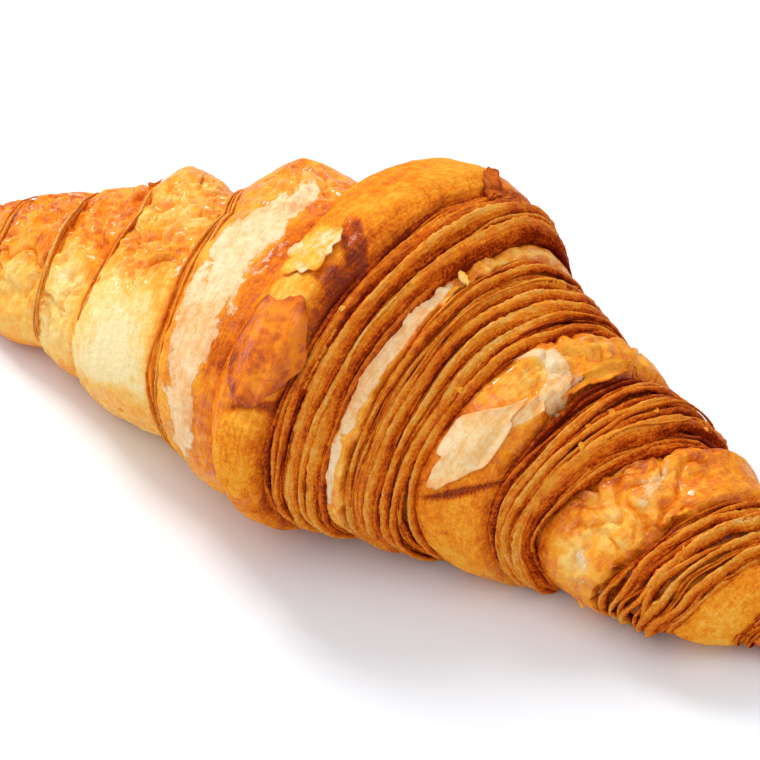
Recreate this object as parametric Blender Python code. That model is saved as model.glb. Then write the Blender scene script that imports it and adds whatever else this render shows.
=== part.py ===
# Croissant: a triangle of laminated dough rolled up from its wide end, baked, and lying on its flat underside.
# Metres, +Z up. The roll's axis is X, its thickest wrap is a little to the right of the middle, and the origin
# is the middle of the base.
import math

import bmesh
import bpy
from mathutils import Vector

MM = 0.001

# Driving dimensions, in millimetres. A position is measured along the roll from the thickest wrap, and an angle
# round it from the top, positive towards the front (-Y).
LEFT_TIP, RIGHT_TIP = -90.0, 84.5
# (position, half width, height) of the smooth loaf that the wraps follow
GIRTHS = (
    (-84.0, 6.8, 10.8),
    (-72.0, 11.3, 17.6),
    (-60.0, 15.0, 23.2),
    (-46.0, 19.2, 31.0),
    (-33.0, 23.9, 37.2),
    (-20.0, 27.6, 42.6),
    (-7.0, 31.4, 48.6),
    (6.0, 32.6, 52.6),
    (20.0, 25.8, 43.0),
    (34.0, 21.0, 35.0),
    (48.0, 17.2, 27.8),
    (62.0, 13.6, 20.2),
    (72.0, 8.2, 12.4),
    (80.0, 4.4, 7.2),
)
# The wraps on each side of the middle, the thickest first. "ends" is the position of the cut edge that faces
# the tip, "ridged" where its fanned layers start, "leaves" how many of them stand out, "slant" how far the
# edge swings along the roll as it goes round, "puff" how far the skin swells, and "step" how far the edge
# stands out over the next wrap.
LEFT_WRAPS = (
    {"ends": -5.8, "ridged": -3.4, "leaves": 1, "slant": 1.4, "puff": 0.9, "step": 2.2},
    {"ends": -24.5, "ridged": -20.5, "leaves": 2, "slant": 2.6, "puff": 1.2, "step": 3.0},
    {"ends": -45.5, "ridged": -42.0, "leaves": 1, "slant": 2.2, "puff": 1.2, "step": 2.6},
    {"ends": -56.0, "ridged": -53.0, "leaves": 1, "slant": 1.4, "puff": 0.8, "step": 2.2},
    {"ends": -69.0, "ridged": -66.5, "leaves": 1, "slant": 0.8, "puff": 0.7, "step": 1.6},
)
RIGHT_WRAPS = (
    {"ends": 14.7, "ridged": 6.4, "leaves": 4, "slant": 6.2, "puff": 0.5, "step": 1.4},
    {"ends": 30.5, "ridged": 16.5, "leaves": 5, "slant": 7.6, "puff": 0.2, "step": 1.4},
    {"ends": 48.5, "ridged": 37.5, "leaves": 4, "slant": 9.0, "puff": 0.5, "step": 1.8},
    {"ends": 63.4, "ridged": 57.0, "leaves": 3, "slant": 5.6, "puff": 0.6, "step": 1.6},
)
# Angle at which the edges on a side reach furthest towards the middle of the roll
LEFT_NEAREST, RIGHT_NEAREST = math.radians(148), math.radians(98)
MIDDLE_SLANT = 4.0
STEP_RUN = 0.5  # length along the roll of the step at a cut edge
LEAF_DEPTH = 1.0  # crest to groove of a fanned layer
LEAF_GROOVE, LEAF_CREST = 0.08, 0.55  # where they lie in the layer's share of the ridged length
TIP_SLANT_RUN = 10.0  # length along the roll over which the slant fades to nothing towards a tip
SUNK = 0.16  # share of the loaf's height by which its round sections would reach below the base
PRESSED_FROM = math.radians(130)  # angle past which the wraps are pressed together by the base
PLAIN_BELOW = 6.0  # half width under which the wraps' steps fade away
SKIN_SPACING = 3.4  # length along the roll from one ring of the mesh to the next on a smooth skin
TIP_SPACING = 2.7
AROUND = 62  # points round a ring
BAKED = (0.62, 0.27, 0.06, 1.0)


def smooth_step(t):
    t = min(1.0, max(0.0, t))
    return t * t * (3 - 2 * t)


def nose(position, tip, station):
    """(half width, height) between the last station and the tip, which is round."""
    t = max(0.0, (position - tip) / (station[0] - tip))
    return tuple(size * math.sqrt(t * (2 - t)) for size in station[1:])


def girth(position):
    """(half width, height) at a position: a smooth curve through GIRTHS, with a round nose at each tip."""
    if position <= GIRTHS[0][0]:
        return nose(position, LEFT_TIP, GIRTHS[0])
    if position >= GIRTHS[-1][0]:
        return nose(position, RIGHT_TIP, GIRTHS[-1])
    i = max(k for k in range(len(GIRTHS) - 1) if GIRTHS[k][0] <= position)
    before, start, end = GIRTHS[max(i - 1, 0)], GIRTHS[i], GIRTHS[i + 1]
    after = GIRTHS[min(i + 2, len(GIRTHS) - 1)]
    run = end[0] - start[0]
    t = (position - start[0]) / run
    sizes = []
    for n in (1, 2):
        rise = end[n] - start[n]
        slope_in = (end[n] - before[n]) / (end[0] - before[0]) * run
        slope_out = (after[n] - start[n]) / (after[0] - start[0]) * run
        square = 3 * rise - 2 * slope_in - slope_out
        cube = slope_in + slope_out - 2 * rise
        sizes.append(start[n] + slope_in * t + square * t * t + cube * t**3)
    return tuple(sizes)


def slant_towards_middle(slant, side):
    """The slant as its parts at the top and at the front of the ring. A side is -1 for the left, 1 for the right."""
    nearest = RIGHT_NEAREST if side > 0 else LEFT_NEAREST
    return Vector((-side * slant * math.cos(nearest), -side * slant * math.sin(nearest)))


def spread(first, last, spacing):
    """Positions from first towards last, evenly spaced, without the last one."""
    count = max(1, round(abs(last - first) / spacing))
    return [first + (last - first) * k / count for k in range(count)]


def wrap_rings(start, start_slant, wrap, side):
    """The (position, slant, height over the smooth loaf) of a wrap's rings, from the edge it comes out under
    to its own cut edge."""
    rings = []
    end_slant = slant_towards_middle(wrap["slant"], side)

    def add(position, extra=0.0):
        share = (position - start) / (wrap["ends"] - start)
        swell = wrap["puff"] * math.sin(math.pi * smooth_step(share))
        over = wrap["step"] * (share - 0.5) + swell + extra
        rings.append((position, start_slant.lerp(end_slant, share), over))

    for position in spread(start + side * STEP_RUN, wrap["ridged"], SKIN_SPACING):
        add(position)
    leaf = (wrap["ends"] - wrap["ridged"]) / wrap["leaves"]
    for k in range(wrap["leaves"]):
        add(wrap["ridged"] + leaf * (k + LEAF_GROOVE), -LEAF_DEPTH / 2)
        add(wrap["ridged"] + leaf * (k + LEAF_CREST), LEAF_DEPTH / 2)
    add(wrap["ends"])
    return rings


def tip_rings(start, start_slant, step, side):
    """The rings of the roll between the last cut edge and the tip. The tip itself is a single point."""
    tip = RIGHT_TIP if side > 0 else LEFT_TIP
    rings = []
    for position in spread(start + side * STEP_RUN, tip, TIP_SPACING) + [tip - side * STEP_RUN]:
        slant = start_slant * (1 - smooth_step(abs(position - start) / TIP_SLANT_RUN))
        rings.append((position, slant, -step / 2 * (tip - position) / (tip - start)))
    return rings


def side_rings(wraps, side):
    """The rings from the middle out to a tip."""
    rings = []
    start, slant = 0.0, slant_towards_middle(MIDDLE_SLANT, 1)
    for wrap in wraps:
        rings += wrap_rings(start, slant, wrap, side)
        start, slant = wrap["ends"], slant_towards_middle(wrap["slant"], side)
    return rings + tip_rings(start, slant, wraps[-1]["step"], side)


def on_ring(ring, angle):
    position, slant, over = ring
    half_width, height = girth(position)
    half_height = height / 2 / (1 - SUNK / 2)
    pressed = smooth_step((abs(angle) - PRESSED_FROM) / (math.pi - PRESSED_FROM))
    over *= (1 - pressed) * smooth_step(half_width / PLAIN_BELOW)
    return MM * Vector(
        (
            position + slant.dot((math.cos(angle), math.sin(angle))),
            -(half_width + over) * math.sin(angle),
            height - half_height + (half_height + over) * math.cos(angle),
        )
    )


def rolled_body():
    """A sphere whose parallels become the rings of the roll, with its poles at the two tips."""
    rings = side_rings(LEFT_WRAPS, -1)[::-1] + side_rings(RIGHT_WRAPS, 1)
    bands = len(rings) + 1
    bm = bmesh.new()
    bmesh.ops.create_uvsphere(bm, u_segments=AROUND, v_segments=bands, radius=1.0)
    for vert in bm.verts:
        band = round(math.acos(max(-1.0, min(1.0, vert.co.z))) / math.pi * bands)
        if 0 < band < bands:
            vert.co = on_ring(rings[band - 1], math.atan2(vert.co.y, vert.co.x))
            continue
        side = -1 if band == 0 else 1
        tip = RIGHT_TIP if side > 0 else LEFT_TIP
        vert.co = MM * Vector((tip, 0.0, girth(tip - side * STEP_RUN)[1] / 2))
    return bm


def flatten_base(bm):
    """Cuts the roll off level where it sat on the baking tray."""
    cut = bmesh.ops.bisect_plane(
        bm,
        geom=bm.verts[:] + bm.edges[:] + bm.faces[:],
        dist=1e-6,
        plane_co=(0.0, 0.0, 0.0),
        plane_no=(0.0, 0.0, -1.0),
        clear_outer=True,
    )
    rim = [part for part in cut["geom_cut"] if isinstance(part, bmesh.types.BMEdge)]
    bmesh.ops.holes_fill(bm, edges=rim, sides=0)


def centre_on_base(bm):
    """Moves the body so that the origin is under the middle of its box."""
    for axis in (0, 1):
        values = [vert.co[axis] for vert in bm.verts]
        middle = (min(values) + max(values)) / 2
        for vert in bm.verts:
            vert.co[axis] -= middle


def crust_material():
    material = bpy.data.materials.new("baked_crust")
    material.use_nodes = True
    shader = material.node_tree.nodes["Principled BSDF"]
    shader.inputs["Base Color"].default_value = BAKED
    shader.inputs["Roughness"].default_value = 0.42
    shader.inputs["Metallic"].default_value = 0.0
    return material


def build():
    for thing in list(bpy.data.objects):
        bpy.data.objects.remove(thing)
    bm = rolled_body()
    flatten_base(bm)
    centre_on_base(bm)
    bmesh.ops.recalc_face_normals(bm, faces=bm.faces[:])
    mesh = bpy.data.meshes.new("croissant")
    bm.to_mesh(mesh)
    bm.free()
    mesh.materials.append(crust_material())
    mesh.shade_smooth()
    mesh.set_sharp_from_angle(angle=math.radians(50))
    croissant = bpy.data.objects.new("croissant", mesh)
    parts = bpy.data.collections.new("croissant")
    bpy.context.scene.collection.children.link(parts)
    parts.objects.link(croissant)


build()
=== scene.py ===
# A baked croissant: overlapping wraps of laminated dough, the layers that fan out at their cut edges, flaked
# skin and loose crumbs.
import math
import time

import bpy
import numpy as np
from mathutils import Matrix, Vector


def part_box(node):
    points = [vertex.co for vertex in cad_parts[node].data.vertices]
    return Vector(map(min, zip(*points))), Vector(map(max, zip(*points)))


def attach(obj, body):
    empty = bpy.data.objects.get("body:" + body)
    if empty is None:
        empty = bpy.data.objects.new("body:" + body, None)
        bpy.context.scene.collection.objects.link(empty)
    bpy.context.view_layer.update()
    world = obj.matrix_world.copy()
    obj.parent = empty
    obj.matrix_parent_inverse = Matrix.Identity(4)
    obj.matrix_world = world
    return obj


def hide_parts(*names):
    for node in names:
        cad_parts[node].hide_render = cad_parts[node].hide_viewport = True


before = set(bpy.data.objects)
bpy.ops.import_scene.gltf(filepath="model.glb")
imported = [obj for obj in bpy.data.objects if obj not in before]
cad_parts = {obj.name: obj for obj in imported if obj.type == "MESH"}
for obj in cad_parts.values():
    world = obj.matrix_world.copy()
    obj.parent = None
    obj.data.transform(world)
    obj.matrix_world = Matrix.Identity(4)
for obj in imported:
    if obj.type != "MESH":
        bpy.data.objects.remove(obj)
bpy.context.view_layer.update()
lowest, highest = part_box("croissant")
mm = 0.001
started = time.time()


def report(stage):
    print(f"{stage}: {time.time() - started:.1f} s")


# the smooth loaf that everything follows, in mm from the thickest wrap
loaf = {
    "leftTip": -90.0,
    "rightTip": 84.5,
    "stations": [-84, -72, -60, -46, -33, -20, -7, 6, 20, 34, 48, 62, 72, 80],
    "halfWidth": [6.6, 11.0, 14.6, 18.6, 23.1, 27.4, 31.4, 32.4, 25.4, 20.8, 16.8, 14.6, 8.0, 4.2],
    "height": [10.4, 17.0, 22.8, 30.6, 36.4, 41.8, 48.4, 52.6, 43.0, 35.0, 27.8, 20.4, 12.6, 7.2],
    "bend": [0, 0, 0, 0, 0, 0, 0, 0, 0, 0, 0.4, -1.2, -0.6, 0],  # sideways, towards the back
    "sunk": 0.16,  # share of the height that the round sections would reach below the base
    "pressedFrom": 128,  # degrees from the top where the wraps start to be pressed together
    "lumps": 0.75,  # uneven swelling of the whole loaf
    "wander": 0.75,  # how far the edges wander along the loaf
    "seed": 11,
    # where the back of the loaf sinks between two wraps: position, degrees from the top, reach (mm), depth
    "dents": [
        (-26, -46, 10, 30, 4.6), (-9, -48, 8, 30, 4.4), (-45, -42, 4, 16, 0.8), (-22, -50, 22, 34, 1.4), (4, -52, 8, 30, 0.6),
        (-34, -46, 6, 26, 2.0), (54, -52, 6, 22, 2.6), (63, -54, 9, 24, 3.4),
        (47, -52, 4.5, 20, 2.2),
    ],
}
# how far the edges swing along the loaf on their way round: position, parts at the top, the front and the back
slants = [
    (-90, 0, 0, 0), (-79, 0, 0.5, -1), (-69, 0.5, 0.8, -2), (-56, 0, 1.5, -4), (-45.5, 1.0, 1.2, -6),
    (-24.5, -2.0, 0.9, -12), (-20.5, -1.6, 1.2, -11), (-5.8, -0.5, -2.0, -5), (0, 0.4, -4.2, 2), (6.4, 1.3, -6.2, 6.2),
    (14.7, 0, -6.2, 6.2), (16.5, 0.6, -5.4, 5.8), (30.5, -2.4, -8.0, 8.4), (37.5, -1.6, -5.0, 6.5),
    (48.5, 0, -9.2, 10), (57, 3.0, -7.3, 7.3), (63.4, 4.4, -4.5, 4.5), (76, 2, -2, 2), (84.5, 0, 0, 0),
]
acrossLoaf = lowest.x / mm - loaf["leftTip"]  # from these positions to the frame


def smooth(value):
    value = np.clip(value, 0.0, 1.0)
    return value * value * (3 - 2 * value)


def curveThrough(points, values, at):
    # smooth cubic through (points, values)
    points, values = np.asarray(points, float), np.asarray(values, float)
    slope = np.gradient(values, points)
    k = np.clip(np.searchsorted(points, at) - 1, 0, len(points) - 2)
    run = points[k + 1] - points[k]
    t = np.clip((at - points[k]) / run, 0, 1)
    a, b = values[k], values[k + 1]
    u, v = slope[k] * run, slope[k + 1] * run
    rise = b - a
    return a + u * t + (3 * rise - 2 * u - v) * t**2 + (u + v - 2 * rise) * t**3


def ripple(along, angle, size, around, seed):
    # smooth random waves from -1 to 1: size in mm along the loaf, a whole number of cells around it
    rng = np.random.default_rng(seed)
    cells = rng.uniform(-1, 1, (int(240 / size) + 8, around))
    turned = rng.uniform(0, around, cells.shape[0])  # each row of cells starts somewhere else
    u = (along + 110) / size
    v = angle / (2 * np.pi) * around
    iu = np.floor(u).astype(int)
    fu = u - iu

    def weights(f):
        return (
            (-f + 2 * f**2 - f**3) / 2,
            (2 - 5 * f**2 + 3 * f**3) / 2,
            (f + 4 * f**2 - 3 * f**3) / 2,
            (-(f**2) + f**3) / 2,
        )

    total = 0.0
    for a, weight in enumerate(weights(fu)):
        row = np.clip(iu + a - 1, 0, cells.shape[0] - 1)
        place = v + turned[row]
        iv = np.floor(place).astype(int)
        part = 0.0
        for b, share in enumerate(weights(place - iv)):
            part = part + share * cells[row, (iv + b - 1) % around]
        total = total + weight * part
    return total


def loafSize(along):
    s = loaf["stations"]
    sizes = []
    for key in ("halfWidth", "height"):
        size = curveThrough(s, loaf[key], along)
        left = np.clip((along - loaf["leftTip"]) / (s[0] - loaf["leftTip"]), 0, 1)
        right = np.clip((loaf["rightTip"] - along) / (loaf["rightTip"] - s[-1]), 0, 1)
        sizes.append(size * np.sqrt(left * (2 - left)) * np.sqrt(right * (2 - right)))
    return sizes


def swingAt(along, angle):
    # how far a point is moved along the loaf by the slant of the edges and their wandering
    keys, top, front, back = np.array(slants).T
    aside = np.where(angle > 0, np.interp(along, keys, front), -np.interp(along, keys, back))
    swing = np.interp(along, keys, top) * np.cos(angle) + aside * np.sin(angle)
    wander = ripple(along, angle, 24, 6, loaf["seed"] + 1) + 0.3 * ripple(along, angle, 9, 17, loaf["seed"] + 2)
    return swing + loaf["wander"] * wander * smooth(loafSize(along)[0] / 9)


def toSpace(along, angle, rise, floor=0.0):
    # a point of the loaf from its place along it, its angle from the top towards the front, and its height over it
    along, angle, rise = np.broadcast_arrays(along, angle, rise)
    halfWidth, height = loafSize(along)
    halfHeight = height / 2 / (1 - loaf["sunk"] / 2)
    pressedFrom = math.radians(loaf["pressedFrom"])
    pressed = smooth((np.abs(angle) - pressedFrom) / (np.pi - pressedFrom))
    small = smooth(halfWidth / 9)
    rise = rise + loaf["lumps"] * ripple(along, angle, 11, 9, loaf["seed"]) * small
    for place, degrees, reach, reachRound, depth in loaf["dents"]:
        apart = np.hypot((along - place) / reach, (angle - math.radians(degrees)) * halfWidth / reachRound)
        rise = rise - depth * smooth(1 - apart)
    rise = np.where(rise > 0, rise * (1 - pressed), rise) * small
    x = along + swingAt(along, angle) + acrossLoaf
    y = curveThrough(loaf["stations"], loaf["bend"], along) - (halfWidth + rise) * np.sin(angle)
    z = height - halfHeight + (halfHeight + rise) * np.cos(angle)
    return np.stack([x, y, np.maximum(z, floor)], -1) * mm


def alongAt(x, angle):
    # the place along the loaf whose slanted edge passes through x
    along = np.array(x, float)
    for _ in range(6):
        along = x - swingAt(along, angle)
    return along


def meshPiece(name, points, faces, values=None):
    # a mesh object from arrays; values are float attributes on its points
    mesh = bpy.data.meshes.new(name)
    faces = np.asarray(faces, np.int32)
    mesh.vertices.add(len(points))
    mesh.vertices.foreach_set("co", np.asarray(points, np.float32).ravel())
    mesh.loops.add(faces.size)
    mesh.loops.foreach_set("vertex_index", faces.ravel())
    mesh.polygons.add(len(faces))
    mesh.polygons.foreach_set("loop_start", np.arange(0, faces.size, faces.shape[1], dtype=np.int32))
    mesh.update(calc_edges=True)
    for key, value in (values or {}).items():
        writeValues(mesh, key, value)
    piece = bpy.data.objects.new(name, mesh)
    bpy.context.scene.collection.objects.link(piece)
    return piece


def readValues(mesh, key):
    values = np.zeros(len(mesh.vertices), np.float32)
    mesh.attributes[key].data.foreach_get("value", values)
    return values


def writeValues(mesh, key, values):
    layer = mesh.attributes.get(key) or mesh.attributes.new(key, "FLOAT", "POINT")
    spread = np.broadcast_to(np.asarray(values, np.float32), (len(mesh.vertices),))
    layer.data.foreach_set("value", np.ascontiguousarray(spread))


def readPoints(mesh):
    points = np.zeros(len(mesh.vertices) * 3, np.float32)
    mesh.vertices.foreach_get("co", points)
    return points.reshape(-1, 3)


def addNode(tree, kind, inputs=None, **settings):
    made = tree.nodes.new(kind)
    for key, value in settings.items():
        setattr(made, key, value)
    for key, value in (inputs or {}).items():
        if isinstance(value, bpy.types.NodeSocket):
            tree.links.new(value, made.inputs[key])
        else:
            made.inputs[key].default_value = value
    return made


def newTree(name, kind, inputs, outputs):
    tree = bpy.data.node_groups.new(name, kind)
    for label, socketKind, value in inputs:
        socket = tree.interface.new_socket(label, in_out="INPUT", socket_type=socketKind)
        if value is not None:
            socket.default_value = value
    for label, socketKind in outputs:
        tree.interface.new_socket(label, in_out="OUTPUT", socket_type=socketKind)
    return tree, tree.nodes.new("NodeGroupInput"), tree.nodes.new("NodeGroupOutput")


def applyTree(piece, tree, sizes):
    # runs a Geometry Nodes tree on a piece and keeps the result as a plain mesh
    modifier = piece.modifiers.new(tree.name, "NODES")
    modifier.node_group = tree
    for item in tree.interface.items_tree:
        if item.in_out == "INPUT" and item.name in sizes:
            modifier[item.identifier] = sizes[item.name]
    bpy.context.view_layer.update()
    graph = bpy.context.evaluated_depsgraph_get()
    result = bpy.data.meshes.new_from_object(piece.evaluated_get(graph), preserve_all_data_layers=True, depsgraph=graph)
    piece.modifiers.remove(modifier)
    old = piece.data
    piece.data = result
    bpy.data.meshes.remove(old)
    result.name = piece.name
    return piece


def maths(tree, operation, a, b=0.0, c=None):
    made = tree.nodes.new("ShaderNodeMath")
    made.operation = operation
    for k, value in enumerate((a, b, c)):
        if isinstance(value, bpy.types.NodeSocket):
            tree.links.new(value, made.inputs[k])
        elif value is not None:
            made.inputs[k].default_value = value
    return made.outputs[0]


def product(tree, *values):
    total = values[0]
    for value in values[1:]:
        total = maths(tree, "MULTIPLY", total, value)
    return total


def added(tree, *values):
    total = values[0]
    for value in values[1:]:
        total = maths(tree, "ADD", total, value)
    return total


def mapRange(tree, value, low, high, toLow=0.0, toHigh=1.0, soft=True):
    return addNode(
        tree,
        "ShaderNodeMapRange",
        {"Value": value, "From Min": low, "From Max": high, "To Min": toLow, "To Max": toHigh},
        interpolation_type="SMOOTHSTEP" if soft else "LINEAR",
    ).outputs["Result"]


def noise(tree, place, scale, detail=2.0, roughness=0.5, distortion=0.0):
    return addNode(
        tree,
        "ShaderNodeTexNoise",
        {"Vector": place, "Scale": scale, "Detail": detail, "Roughness": roughness, "Distortion": distortion},
    ).outputs["Fac"]


def mixColour(tree, amount, a, b, blend="MIX"):
    made = tree.nodes.new("ShaderNodeMix")
    made.data_type = "RGBA"
    made.blend_type = blend
    made.clamp_result = True
    for k, value in ((0, amount), (6, a), (7, b)):
        if isinstance(value, bpy.types.NodeSocket):
            tree.links.new(value, made.inputs[k])
        else:
            made.inputs[k].default_value = value
    return made.outputs[2]


def ramp(tree, value, stops):
    made = addNode(tree, "ShaderNodeValToRGB", {"Fac": value})
    elements = made.color_ramp.elements
    elements[0].position, elements[0].color = stops[0][0], (*stops[0][1], 1)
    elements[1].position, elements[1].color = stops[-1][0], (*stops[-1][1], 1)
    for place, colour in stops[1:-1]:
        elements.new(place).color = (*colour, 1)
    return made.outputs["Color"]


# how the crust darkens as it bakes, and the papery skin that flakes off it
crustColours = [
    (0.0, (0.98, 0.78, 0.40)), (0.12, (0.97, 0.60, 0.16)), (0.26, (0.96, 0.44, 0.055)), (0.4, (0.93, 0.335, 0.022)),
    (0.55, (0.84, 0.215, 0.012)),
    (0.68, (0.68, 0.138, 0.008)), (0.82, (0.45, 0.064, 0.006)), (1.0, (0.20, 0.020, 0.004)),
]
filmColours = [(0.36, (0.95, 0.72, 0.44)), (0.5, (0.91, 0.58, 0.30)), (0.62, (0.87, 0.42, 0.12))]
# colour of the light specks: grain colour plus painted glints of sheen
glintSpeckColour = (1.0, 0.50, 0.12, 1)
layerTint = (1.0, 0.77, 0.66, 1)  # the cut layers are a warmer brown than the skin


def crustGroup():
    # colour, gloss and fine relief of baked dough
    tree, given, result = newTree(
        "bakedDough",
        "ShaderNodeTree",
        [
            ("Bake", "NodeSocketFloat", 0.5),
            ("Pale", "NodeSocketFloat", 0.0),
            ("Creaseshade", "NodeSocketFloat", 0.0),
            ("Gloss", "NodeSocketFloat", 0.4),
            ("Along", "NodeSocketFloat", 0.0),
            ("Angle", "NodeSocketFloat", 0.0),
            ("Rise", "NodeSocketFloat", 0.0),
            ("Grain", "NodeSocketFloat", 0.5),
            ("Fibre", "NodeSocketFloat", 0.5),
        ],
        [
            ("Colour", "NodeSocketColor"),
            ("Roughness", "NodeSocketFloat"),
            ("Coat", "NodeSocketFloat"),
            ("Height", "NodeSocketFloat"),
        ],
    )
    place = addNode(tree, "ShaderNodeTexCoord").outputs["Object"]
    bake, pale, creaseshade, gloss, along, angle, rise, grain, fibre = (given.outputs[k] for k in range(9))
    grain = product(tree, grain, maths(tree, "SUBTRACT", 1.25, gloss))  # matte crust is sandy, glazed crust smooth
    clouds = noise(tree, place, 110, 4, 0.55)
    mottle = noise(tree, place, 560, 4, 0.62, 0.4)
    sand = noise(tree, place, 2000, 3, 0.66)
    pits = addNode(tree, "ShaderNodeTexVoronoi", {"Vector": place, "Scale": 1500}).outputs["Distance"]
    # fine streaks that run round the loaf with the layers
    streakPlace = addNode(
        tree, "ShaderNodeCombineXYZ",
        {"X": product(tree, along, 2.4), "Y": product(tree, angle, 5.5), "Z": product(tree, rise, 2.6)},
    ).outputs[0]
    streak = noise(tree, streakPlace, 1.0, 4, 0.68)
    fine = noise(tree, streakPlace, 2.7, 3, 0.6)
    blotch = noise(tree, place, 330, 3, 0.6, 1.2)
    # bake moves the colour along one ramp; clouds, mottle, sand and streaks break it up
    uneven = added(
        tree,
        mapRange(tree, clouds, 0.3, 0.7, -0.10, 0.10),
        mapRange(tree, mottle, 0.3, 0.7, -0.09, 0.09),
        product(tree, mapRange(tree, sand, 0.34, 0.66, -0.11, 0.11), grain),
        product(tree, mapRange(tree, streak, 0.34, 0.66, -0.14, 0.14), fibre),
        product(tree, mapRange(tree, fine, 0.34, 0.66, -0.09, 0.09), fibre),
        product(tree, mapRange(tree, pits, 0.0, 0.28, 0.08, 0.0), grain),
        product(tree, mapRange(tree, blotch, 0.36, 0.64, -0.13, 0.13), gloss),
    )
    steady = mapRange(tree, bake, 0.05, 0.35, 0.45, 1.0)  # pale crust is more even
    level = added(
        tree,
        bake,
        product(tree, uneven, steady),
        # painted crease shade darkens the colour in creases and between layers
        product(tree, creaseshade, 0.27),
    )
    level = maths(tree, "MAXIMUM", level, added(tree, bake, -0.14))
    colour = ramp(tree, level, crustColours)
    warmer = product(tree, mapRange(tree, fibre, 0.5, 0.75), mapRange(tree, level, 0.2, 0.6, 0.75, 1.0))
    colour = mixColour(tree, warmer, colour, layerTint, "MULTIPLY")
    open_ = maths(tree, "SUBTRACT", 1.0, creaseshade)
    # light specks on open crust, partly grain and partly painted glints of sheen, none in the painted crease shade
    glintSpecks = product(tree, mapRange(tree, sand, 0.56, 0.66), grain, open_, open_, 0.4)
    colour = mixColour(tree, glintSpecks, colour, glintSpeckColour)
    # a film of skin is torn where fractal noise cuts its soft mask, with a painted shade line just outside its edge
    tear = added(tree, noise(tree, place, 150, 6, 0.62, 0.3), -0.5)
    torn = added(tree, pale, product(tree, tear, 2.1), product(tree, added(tree, streak, -0.5), 0.5))
    film = mapRange(tree, torn, 0.45, 0.56)
    # painted shade line just outside the film's edge
    rim = product(tree, mapRange(tree, torn, 0.38, 0.46), maths(tree, "SUBTRACT", 1.0, film), mapRange(tree, pale, 0.02, 0.1))
    colour = mixColour(tree, product(tree, rim, 0.18), colour, (0.60, 0.15, 0.012, 1))
    paper = added(tree, product(tree, mottle, 0.35), product(tree, sand, 0.15), product(tree, clouds, 0.25), product(tree, streak, 0.25))
    paper = ramp(tree, mapRange(tree, paper, 0.4, 0.6, 0.35, 0.59), filmColours)
    colour = mixColour(tree, product(tree, film, mapRange(tree, clouds, 0.35, 0.65, 0.97, 0.72)), colour, paper)
    bare = maths(tree, "SUBTRACT", 1.0, product(tree, film, 0.6))
    rough = added(
        tree, maths(tree, "SUBTRACT", 0.72, product(tree, gloss, 0.36)), mapRange(tree, mottle, 0.3, 0.7, -0.08, 0.1)
    )
    coat = product(tree, gloss, mapRange(tree, mottle, 0.38, 0.60, 0.1, 1.0), bare)
    height = added(
        tree,
        product(tree, sand, added(tree, product(tree, grain, 0.9), 0.08)),
        product(tree, mapRange(tree, pits, 0.0, 0.35), grain, 0.5),
        product(tree, mottle, 0.7),
        product(tree, film, 0.3),
        product(tree, streak, fibre, 1.8),
        product(tree, fine, fibre, 1.2),
    )
    for key, value in (("Colour", colour), ("Roughness", rough), ("Coat", coat), ("Height", height)):
        tree.links.new(value, result.inputs[key])
    return tree


dough = crustGroup()


def crustMaterial(name, grain, fibre, bump, scatter, shine):
    material = bpy.data.materials.new(name)
    material.use_nodes = True
    tree = material.node_tree
    shader = tree.nodes["Principled BSDF"]
    group = addNode(tree, "ShaderNodeGroup", node_tree=dough)
    for label in ("Bake", "Pale", "Creaseshade", "Gloss", "Along", "Angle", "Rise"):
        source = addNode(tree, "ShaderNodeAttribute", attribute_name=label.lower(), attribute_type="GEOMETRY")
        tree.links.new(source.outputs["Fac"], group.inputs[label])
    group.inputs["Grain"].default_value = grain
    group.inputs["Fibre"].default_value = fibre
    relief = addNode(tree, "ShaderNodeBump", {"Strength": 1.0, "Distance": bump, "Height": group.outputs["Height"]})
    tree.links.new(group.outputs["Colour"], shader.inputs["Base Color"])
    tree.links.new(group.outputs["Roughness"], shader.inputs["Roughness"])
    tree.links.new(group.outputs["Coat"], shader.inputs["Coat Weight"])
    tree.links.new(relief.outputs["Normal"], shader.inputs["Normal"])
    shader.inputs["Coat Roughness"].default_value = 0.11
    shader.inputs["Subsurface Weight"].default_value = scatter
    shader.inputs["Subsurface Radius"].default_value = (1.0, 0.4, 0.12)
    shader.inputs["Subsurface Scale"].default_value = 0.0012
    shader.inputs["Specular IOR Level"].default_value = shine
    return material


skinCrust = crustMaterial("skinCrust", 0.7, 0.4, 0.00022, 0.08, 0.0)
edgeCrust = crustMaterial("edgeCrust", 0.9, 0.8, 0.0003, 0.05, 0.0)
flakeCrust = crustMaterial("flakeCrust", 0.5, 0.2, 0.0001, 0.15, 0.0)

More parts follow.
